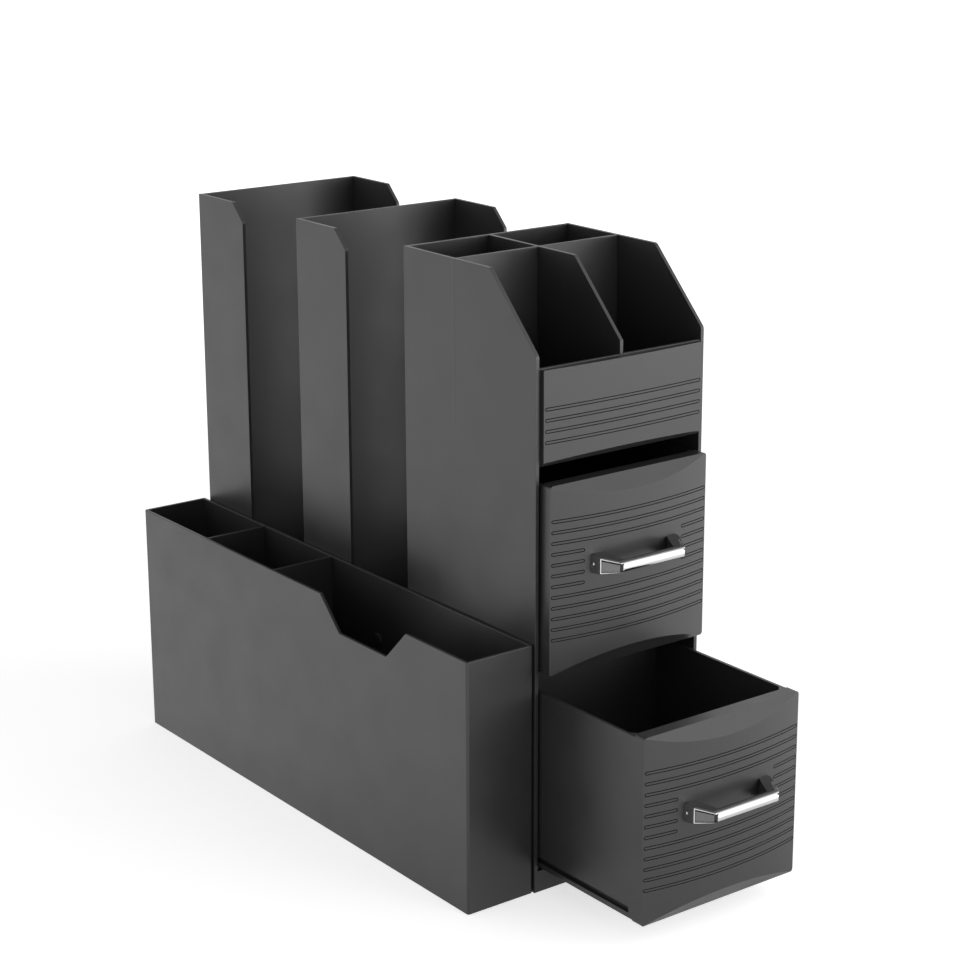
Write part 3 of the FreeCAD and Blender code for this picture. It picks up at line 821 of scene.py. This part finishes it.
def groove_tree():
    """Rows of outlined grooves. Some rows are broken in the middle, where the handle stands."""
    tree = ShapeTree("outlined_grooves", {
        "Rows": "Int", "First Height": "Float", "Pitch": "Float", "Half Length": "Float",
        "Groove Height": "Float", "Line Width": "Float", "Line Depth": "Float", "Step": "Float",
        "First Broken Row": "Int", "Last Broken Row": "Int", "Break Half Width": "Float",
        "Radius": "Float", "Axis Y": "Float", "Finish": "Material",
    })
    half = tree.given("Half Length")
    gap = tree.given("Break Half Width")
    start = tree.add("ShaderNodeCombineXYZ", {"Z": tree.given("First Height")})
    offset = tree.add("ShaderNodeCombineXYZ", {"Z": tree.maths("MULTIPLY", tree.given("Pitch"), -1.0)})
    rows = tree.add(
        "GeometryNodeMeshLine", {"Count": tree.given("Rows"), "Start Location": start, "Offset": offset},
    )
    index = tree.add("GeometryNodeInputIndex", {})
    after = tree.maths("GREATER_THAN", index, tree.maths("SUBTRACT", tree.given("First Broken Row"), 0.5))
    before = tree.maths("LESS_THAN", index, tree.maths("ADD", tree.given("Last Broken Row"), 0.5))
    broken = tree.maths("MULTIPLY", after, before)
    whole = tree.maths("SUBTRACT", 1.0, broken)
    centre = tree.maths("MULTIPLY", tree.maths("ADD", half, gap), 0.5)
    join = tree.node("GeometryNodeJoinGeometry")
    for chosen, length, centre_x in (
        (whole, tree.maths("MULTIPLY", half, 2.0), 0.0),
        (broken, tree.maths("SUBTRACT", half, gap), centre),
        (broken, tree.maths("SUBTRACT", half, gap), tree.maths("MULTIPLY", centre, -1.0)),
    ):
        copies = tree.add(
            "GeometryNodeInstanceOnPoints",
            {"Points": rows, "Selection": chosen, "Instance": groove_ring(tree, length, centre_x)},
        )
        tree.feed(join, {"Geometry": copies})
    tree.finish(join.outputs["Geometry"])
    return tree


def repeat_tree():
    """Copies of one solid in a grid, each column turned one step further."""
    tree = ShapeTree("repeated_solids", {
        "Source": "Object", "Columns": "Int", "Rows": "Int", "First": "Vector",
        "Column Step": "Vector", "Row Step": "Vector", "Turn Step": "Vector", "Finish": "Material",
    })
    source = tree.add("GeometryNodeObjectInfo", {"Object": tree.given("Source")}, "Geometry")
    columns = tree.add("GeometryNodeMeshLine", {
        "Count": tree.given("Columns"), "Start Location": tree.given("First"),
        "Offset": tree.given("Column Step"),
    })
    rows = tree.add("GeometryNodeMeshLine", {"Count": tree.given("Rows"), "Offset": tree.given("Row Step")})
    index = tree.add("GeometryNodeInputIndex", {})
    turn = tree.add("ShaderNodeVectorMath", {0: tree.given("Turn Step"), "Scale": index}, operation="SCALE")
    column = tree.add("GeometryNodeInstanceOnPoints", {"Points": rows, "Instance": source})
    grid = tree.add(
        "GeometryNodeInstanceOnPoints", {"Points": columns, "Instance": column, "Rotation": turn},
    )
    tree.finish(grid)
    return tree


# Fronts and drawers

def engraved(body, plate, tree, rows, name, line_finish):
    """The moulding with its rows of grooves cut in, and exact normals on its curved face."""
    count, first, broken_first, broken_last = rows
    values = {
        "Rows": count, "First Height": plate.bottom + first, "Pitch": groove_pitch,
        "First Broken Row": broken_first, "Last Broken Row": broken_last,
        "Half Length": plate.half_width - groove_edge_margin, "Break Half Width": groove_break_half_width,
        "Groove Height": groove_height, "Line Width": groove_line_width, "Line Depth": groove_line_depth,
        "Step": groove_step, "Radius": plate.radius, "Axis Y": plate.axis_y, "Finish": line_finish,
    }
    mesh = cut_away(body, [tree.build(name + "_grooves", values)], name)
    exact_normals(mesh, plate)
    return mesh


def make_fixed_panel(tree, material, line_finish):
    plate = FrontPlate("fixed_front_panel", fixed_panel_bulge)
    body = lofted(plate, fixed_section, 0.0, "fixed_panel")
    mesh = engraved(painted(body, material), plate, tree, fixed_rows, "fixed_panel_moulding", line_finish)
    add_piece(mesh, "fixed_panel_moulding", "housing", ["fixed_front_panel"])


def box_moulding(plate, node):
    """Open box with its runner slots. Its front end laps into the plate."""
    low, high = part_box(node)
    wide = high.x
    front, rear = plate.back, high.y
    slot_low = low.z + runner_flange
    slot_high = slot_low + runner_slot_height
    shelf = slot_high + runner_flange
    inner = wide - drawer_wall
    low_inner = inner - runner_slot_depth
    front_inner, rear_inner = front + drawer_wall, rear - drawer_wall
    cavity = [
        (inner, front_inner + drawer_gusset, 0.0), (inner, rear_inner, 0.0), (-inner, rear_inner, 0.0),
        (-inner, front_inner + drawer_gusset, 0.0), (drawer_gusset - inner, front_inner, 0.0),
        (inner - drawer_gusset, front_inner, 0.0),
    ]
    slot_front = front + runner_slot_front_offset
    low_room = rectangle(-low_inner, low_inner, front_inner, rear_inner)
    cutters = [
        outline_solid(cavity, "Z", shelf, high.z + overshoot, "upper_room"),
        outline_solid(low_room, "Z", slot_low, shelf + overshoot, "room"),
    ]
    slot_inner = wide - runner_slot_depth
    for start_x, end_x in ((slot_inner, wide + overshoot), (-wide - overshoot, -slot_inner)):
        slot = rectangle(start_x, end_x, slot_front, rear + overshoot)
        cutters.append(outline_solid(slot, "Z", slot_low, slot_high, "slot"))
    body = outline_solid(rectangle(-wide, wide, front - box_lap, rear), "Z", low.z, high.z, "box")
    return bevelled(cut_away(body, cutters, "box"), box_edge_radius, 3)


def make_drawer_moulding(drawer, tree, material, line_finish):
    """Curved plate and box of one drawer, which are one moulding."""
    plate = FrontPlate(drawer + "_drawer_front", drawer_front_bulge)
    front = lofted(plate, drawer_section, drawer_corner_radius, "plate")
    box = painted(box_moulding(plate, drawer + "_drawer_box"), material)
    body = combined(painted(front, material), [box], "UNION", "drawer")
    name = drawer + "_drawer_moulding"
    mesh = engraved(body, plate, tree, drawer_rows, name, line_finish)
    add_piece(
        mesh, name, drawer + "_drawer", [drawer + "_drawer_front", drawer + "_drawer_box"],
    )


# Handles

def trim_corners(edge):
    """Outer corners of the right leg in plan, and the unit vectors along it and square to it."""
    start = Vector((handle_post_half_width, edge - handle_post_reach, 0.0))
    finish = Vector((handle_bar_half_width, edge - handle_reach, 0.0))
    along = (finish - start).normalized()
    return start, finish, along, Vector((-along.y, along.x, 0.0))


def trim_solid(edge, z):
    """Bright cover of the bar and both legs, before its windows are cut."""
    start, finish, along, normal = trim_corners(edge)
    inner = start - normal * trim_leg_thickness
    at_post = inner + along * ((start.y - inner.y) / along.y)
    at_bar = inner + along * ((finish.y + trim_bar_depth - inner.y) / along.y)
    side = [
        (finish.x, finish.y, trim_corner_radius), (start.x, start.y, 0.0),
        (at_post.x, at_post.y, 0.0), (at_bar.x, at_bar.y, 0.0),
    ]
    plan = side + [(-x, y, radius) for x, y, radius in reversed(side)]
    bar = handle_bar_height / 2
    crown_radius = (bar ** 2 + handle_bar_crown ** 2) / (2 * handle_bar_crown)
    sweep = math.asin(bar / crown_radius)
    if handle_bar_crown > crown_radius:
        sweep = math.pi - sweep
    root_y = start.y + trim_root
    section = [(root_y, z - handle_post_bottom, 0.0)]
    for step in range(crown_steps + 1):
        angle = sweep * (2 * step / crown_steps - 1)
        section.append((
            finish.y + crown_radius * (1 - math.cos(angle)), z + crown_radius * math.sin(angle), 0.0,
        ))
    section.append((root_y, z + handle_post_top, 0.0))
    width = handle_post_half_width + overshoot
    deep = 2 * handle_post_bottom
    return combined(
        outline_solid(plan, "Z", z - deep, z + deep, "trim_plan"),
        [outline_solid(section, "X", -width, width, "trim_section")],
        "INTERSECT", "trim",
    )


def leg_panel(edge, z, side, near, far, frame_top, frame_bottom, surface, depth, name):
    """Tapered panel along one leg, between two distances and two depths below its outer face."""
    start, finish, along, normal = trim_corners(edge)
    length = (finish - start).length
    bar = handle_bar_height / 2
    corners = []
    for distance, post_height, direction, frame_width in (
        (near, handle_post_bottom, -1, frame_bottom), (length - far, handle_post_bottom, -1, frame_bottom),
        (length - far, handle_post_top, 1, frame_top), (near, handle_post_top, 1, frame_top),
    ):
        share = distance / length
        height = post_height * (1 - share) + bar * share - frame_width
        corners.append(start + along * distance + Vector((0.0, 0.0, z + direction * height)))
    rings = []
    for level in (surface, depth):
        places = [corner - normal * level for corner in corners]
        rings.append([(side * place.x, place.y, place.z) for place in places])
    return ring_solid(rings, name)


def make_trim(drawer, finishes):
    """Chrome cover whose legs have a sunk window, with a pad of chrome darkened as painted shade, in a
    surround painted near black as painted shade.
    """
    plate = FrontPlate(drawer + "_drawer_front", drawer_front_bulge)
    edge, z = plate.edge, plate.bottom + handle_height
    windows = []
    pads = []
    for side in (-1, 1):
        window = leg_panel(
            edge, z, side, window_post_margin, window_bar_margin, window_frame, window_frame,
            -overshoot, window_depth, "window",
        )
        pad = leg_panel(
            edge, z, side, window_post_margin, window_bar_margin + pad_bar_gap,
            window_frame + pad_top_gap, window_frame, pad_depth, window_depth + pad_root, "pad",
        )
        windows.append(painted(window, finishes["recess"]))
        pads.append(painted(pad, finishes["pad"]))
    body = bevelled(painted(trim_solid(edge, z), finishes["chrome"]), trim_edge_radius, 4)
    name = drawer + "_trim_cover"
    mesh = combined(cut_away(body, windows, name), pads, "UNION", name)
    exact_normals(mesh)
    add_piece(mesh, name, drawer + "_drawer", [drawer + "_handle_trim"])


# Pins, screws and rivets

def turned(profile, name):
    """Solid of revolution about X. The profile is (x, radius) pairs that start and end on the axis."""
    shape = bmesh.new()
    rings = []
    for x, radius in profile:
        if radius == 0:
            rings.append([shape.verts.new((x, 0.0, 0.0))])
            continue
        angles = [2 * math.pi * step / turned_steps for step in range(turned_steps)]
        rings.append([shape.verts.new((x, radius * math.cos(a), radius * math.sin(a))) for a in angles])
    for first, second in zip(rings, rings[1:]):
        for index in range(turned_steps):
            following = (index + 1) % turned_steps
            corners = []
            for ring, place in ((first, index), (first, following), (second, following), (second, index)):
                corner = ring[place % len(ring)]
                if corner not in corners:
                    corners.append(corner)
            shape.faces.new(corners)
    return closed_mesh(shape, name)


def domed(start_x, end_x, radius):
    """Profile of a shallow dome, from its rim to its crown on the axis."""
    angles = [quarter_turn * step / dome_steps for step in range(dome_steps + 1)]
    points = [(start_x + (end_x - start_x) * math.sin(a), radius * math.cos(a)) for a in angles]
    return points[:-1] + [(end_x, 0.0)]


def repeated(tree, source, name, body, replaced, values):
    """One piece made of copies of the source solid, two in a row unless the values say more."""
    master = placed(source)
    settings = {"Columns": 2, "Rows": 1, "Row Step": no_step, "Turn Step": no_step, "Source": master}
    settings.update(values)
    mesh = tree.build(name, settings)
    bpy.data.objects.remove(master)
    exact_normals(mesh)
    return add_piece(mesh, name, body, replaced)


def make_pins(drawer, tree, material):
    """Two domed cross pins, one at the root of each post."""
    low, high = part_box(drawer + "_handle_pins")
    middle = (low + high) / 2
    profile = [
        (-pin_length, 0.0), (-pin_length, pin_radius - pin_chamfer), (pin_chamfer - pin_length, pin_radius),
    ]
    profile += domed(-pin_dome, 0.0, pin_radius)
    values = {
        "First": (high.x, middle.y, middle.z), "Column Step": (low.x - high.x, 0.0, 0.0),
        "Turn Step": (0.0, 0.0, math.pi), "Finish": material,
    }
    repeated(
        tree, turned(profile, "pin"), drawer + "_pins", drawer + "_drawer",
        [drawer + "_handle_pins"], values,
    )


def screw_solid(length):
    """Pan-head screw with a cross recess. Its head's top is at the origin and its point lies along -X."""
    seat = -screw_head_height
    core = screw_radius - screw_thread_depth
    profile = [(-length, 0.0), (screw_radius - length, core)]
    turns = int((length - screw_head_height - screw_radius) / screw_thread_pitch)
    for turn in range(turns):
        low = screw_radius - length + turn * screw_thread_pitch
        profile.append((low + screw_thread_pitch / 2, screw_radius))
        profile.append((low + screw_thread_pitch, core))
    profile += [(seat, core), (seat, screw_head_radius)]
    profile += domed(seat / 2, 0.0, screw_head_radius)
    reach = screw_recess_length / 2
    half = screw_recess_width / 2
    cutters = []
    for wide, tall in ((reach, half), (half, reach)):
        slot = rectangle(-wide, wide, -tall, tall)
        cutters.append(outline_solid(slot, "X", -screw_recess_depth, overshoot, "recess"))
    return cut_away(turned(profile, "screw"), cutters, "screw")


def make_screws(drawer, tree, material):
    """Two screws that hold the handle, driven from inside the drawer."""
    low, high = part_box(drawer + "_handle_screws")
    screw = screw_solid(high.y - low.y)
    screw.transform(Matrix.Rotation(quarter_turn, 4, "Z"))
    values = {
        "First": (screw_spacing / 2, high.y, (low.z + high.z) / 2),
        "Column Step": (-screw_spacing, 0.0, 0.0), "Finish": material,
    }
    repeated(
        tree, screw, drawer + "_screws", drawer + "_drawer",
        [drawer + "_handle_screws"], values,
    )


def make_rivets(tree, material):
    """Four snap rivets that hold the pocket to the housing."""
    low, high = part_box("pocket_rivets")
    length = high.x - low.x
    head = rivet_head_height
    spacer = head + pocket_wall
    collar = length - head
    profile = list(reversed(domed(head / 2, 0.0, rivet_head_radius)))
    profile += [
        (head, rivet_head_radius), (head, rivet_radius),
        (spacer, rivet_radius), (spacer, rivet_spacer_radius),
        (spacer + rivet_spacer_length, rivet_spacer_radius), (spacer + rivet_spacer_length, rivet_radius),
        (collar, rivet_radius), (collar, rivet_collar_radius),
    ]
    profile += domed(length - head / 2, length, rivet_collar_radius)
    inset = rivet_spacer_radius
    values = {
        "Rows": 2, "First": (low.x, low.y + inset, low.z + inset),
        "Column Step": (0.0, high.y - low.y - 2 * inset, 0.0),
        "Row Step": (0.0, 0.0, high.z - low.z - 2 * inset), "Finish": material,
    }
    repeated(
        tree, turned(profile, "rivet"), "snap_rivets", "housing",
        ["pocket_rivets"], values,
    )


def dress_model():
    panel_finish = satin_plastic("panel_plastic")
    side_finish = satin_plastic("side_plastic", "cross_divider")
    front_finish = satin_plastic("front_plastic")
    bracket_finish = satin_plastic("bracket_plastic")
    line_finish = line_shadow("groove_shadow")
    zinc = zinc_plate("zinc_plate")
    finishes = {
        "chrome": bright_metal("bright_chrome"),
        "pad": bright_metal("satin_chrome"),
        "recess": satin_plastic("recess_plastic"),
    }
    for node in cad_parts:
        paint(node, panel_finish)
    for node in ("left_side_panel", "right_side_panel"):
        paint(node, side_finish)
    for node in plain_nodes:
        round_edges(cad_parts[node], panel_edge_radius)
    grooves = groove_tree()
    copies = repeat_tree()
    for drawer in ("upper", "lower"):
        bracket = drawer + "_handle_bracket"
        paint(bracket, bracket_finish)
        round_edges(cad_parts[bracket], handle_edge_radius)
        make_drawer_moulding(drawer, grooves, front_finish, line_finish)
        make_trim(drawer, finishes)
        make_pins(drawer, copies, finishes["chrome"])
        make_screws(drawer, copies, zinc)
    make_fixed_panel(grooves, front_finish, line_finish)
    make_pocket(panel_finish)
    make_rivets(copies, panel_finish)


# Studio

def make_world():
    """White all round at eye level, darker overhead as under a studio ceiling."""
    world = bpy.data.worlds.new("studio_air")
    scene.world = world
    world.use_nodes = True
    steps = NodeSteps(world.node_tree)
    direction = steps.axes(steps.add("ShaderNodeTexCoord", {}, "Generated"))
    ceiling = steps.spread(direction["Z"], 1.0, ceiling_level, ceiling_start, ceiling_end, "SMOOTHSTEP")
    seen = steps.rays("Is Camera Ray", "Is Glossy Ray", "Is Transmission Ray")
    level = steps.spread(seen, world_light, 1.0, 0.0, 1.0)
    strength = steps.maths("MULTIPLY", ceiling, level)
    steps.feed(world.node_tree.nodes["Background"], {"Color": white, "Strength": strength})


def make_floor():
    """White sweep: it takes light and shadow, and shows white to the camera. In reflections it glows, dimmer
    near the drawers as a painted shadow.
    """
    half = floor_half_size
    mesh = bpy.data.meshes.new("studio_floor")
    corners = [(-half, -half, 0), (half, -half, 0), (half, half, 0), (-half, half, 0)]
    mesh.from_pydata(corners, [], [(0, 1, 2, 3)])
    floor = placed(mesh)
    floor.location.z = -floor_drop
    shader = Shader("studio_floor")
    distance = shader.add("ShaderNodeVectorMath", {0: shader.position}, "Value", operation="LENGTH")
    backdrop = shader.spread(distance, floor_white_near, 1.0, backdrop_start, backdrop_end)
    # Glow seen only in reflections, lowered near the drawers as a painted shadow.
    from_shadow_centre = shader.add(
        "ShaderNodeVectorMath", {0: shader.position, 1: reflected_shadow_centre}, "Value", operation="DISTANCE",
    )
    reflected_glow = shader.spread(from_shadow_centre, floor_near, floor_far, floor_start, floor_end)
    direct = shader.maths("MULTIPLY", shader.rays("Is Camera Ray", "Is Transmission Ray"), backdrop)
    indirect = shader.maths("MULTIPLY", shader.rays("Is Glossy Ray"), reflected_glow)
    mesh.materials.append(shader.finish({
        "Base Color": shader.mottled(shader.noise(floor_tone_scale), *floor_tones),
        "Roughness": floor_roughness,
        "Specular IOR Level": 0.0,
        "Emission Color": white,
        "Emission Strength": shader.maths("ADD", direct, indirect),
    }))


def area_light(name, place, target, size, power):
    light = bpy.data.lights.new(name, "AREA")
    light.shape = "RECTANGLE"
    light.size, light.size_y = size
    light.energy = power
    lamp = placed(light)
    lamp.location = place
    lamp.rotation_euler = (Vector(target) - Vector(place)).to_track_quat("-Z", "Y").to_euler()


def make_lights():
    make_world()
    for name, settings in lamps.items():
        area_light(name, *settings)


def make_camera():
    ahead = Vector((
        math.sin(camera_turn) * math.cos(camera_tilt),
        math.cos(camera_turn) * math.cos(camera_tilt),
        -math.sin(camera_tilt),
    ))
    right = Vector((math.cos(camera_turn), -math.sin(camera_turn), 0.0))
    up = right.cross(ahead)
    turned_right = right * math.cos(camera_roll) + up * math.sin(camera_roll)
    turned_up = up * math.cos(camera_roll) - right * math.sin(camera_roll)
    turn = Matrix((turned_right, turned_up, -ahead)).transposed()
    lens = bpy.data.cameras.new("photo_camera")
    lens.sensor_width = sensor_width
    lens.lens = camera_focal_pixels / picture_pixels * sensor_width
    lens.shift_y = (camera_axis_row - picture_pixels / 2) / picture_pixels
    scene.camera = placed(lens)
    scene.camera.matrix_world = Matrix.Translation(camera_place) @ turn.to_4x4()


scene.view_settings.view_transform = "Standard"
dress_model()
make_floor()
make_lights()
make_camera()
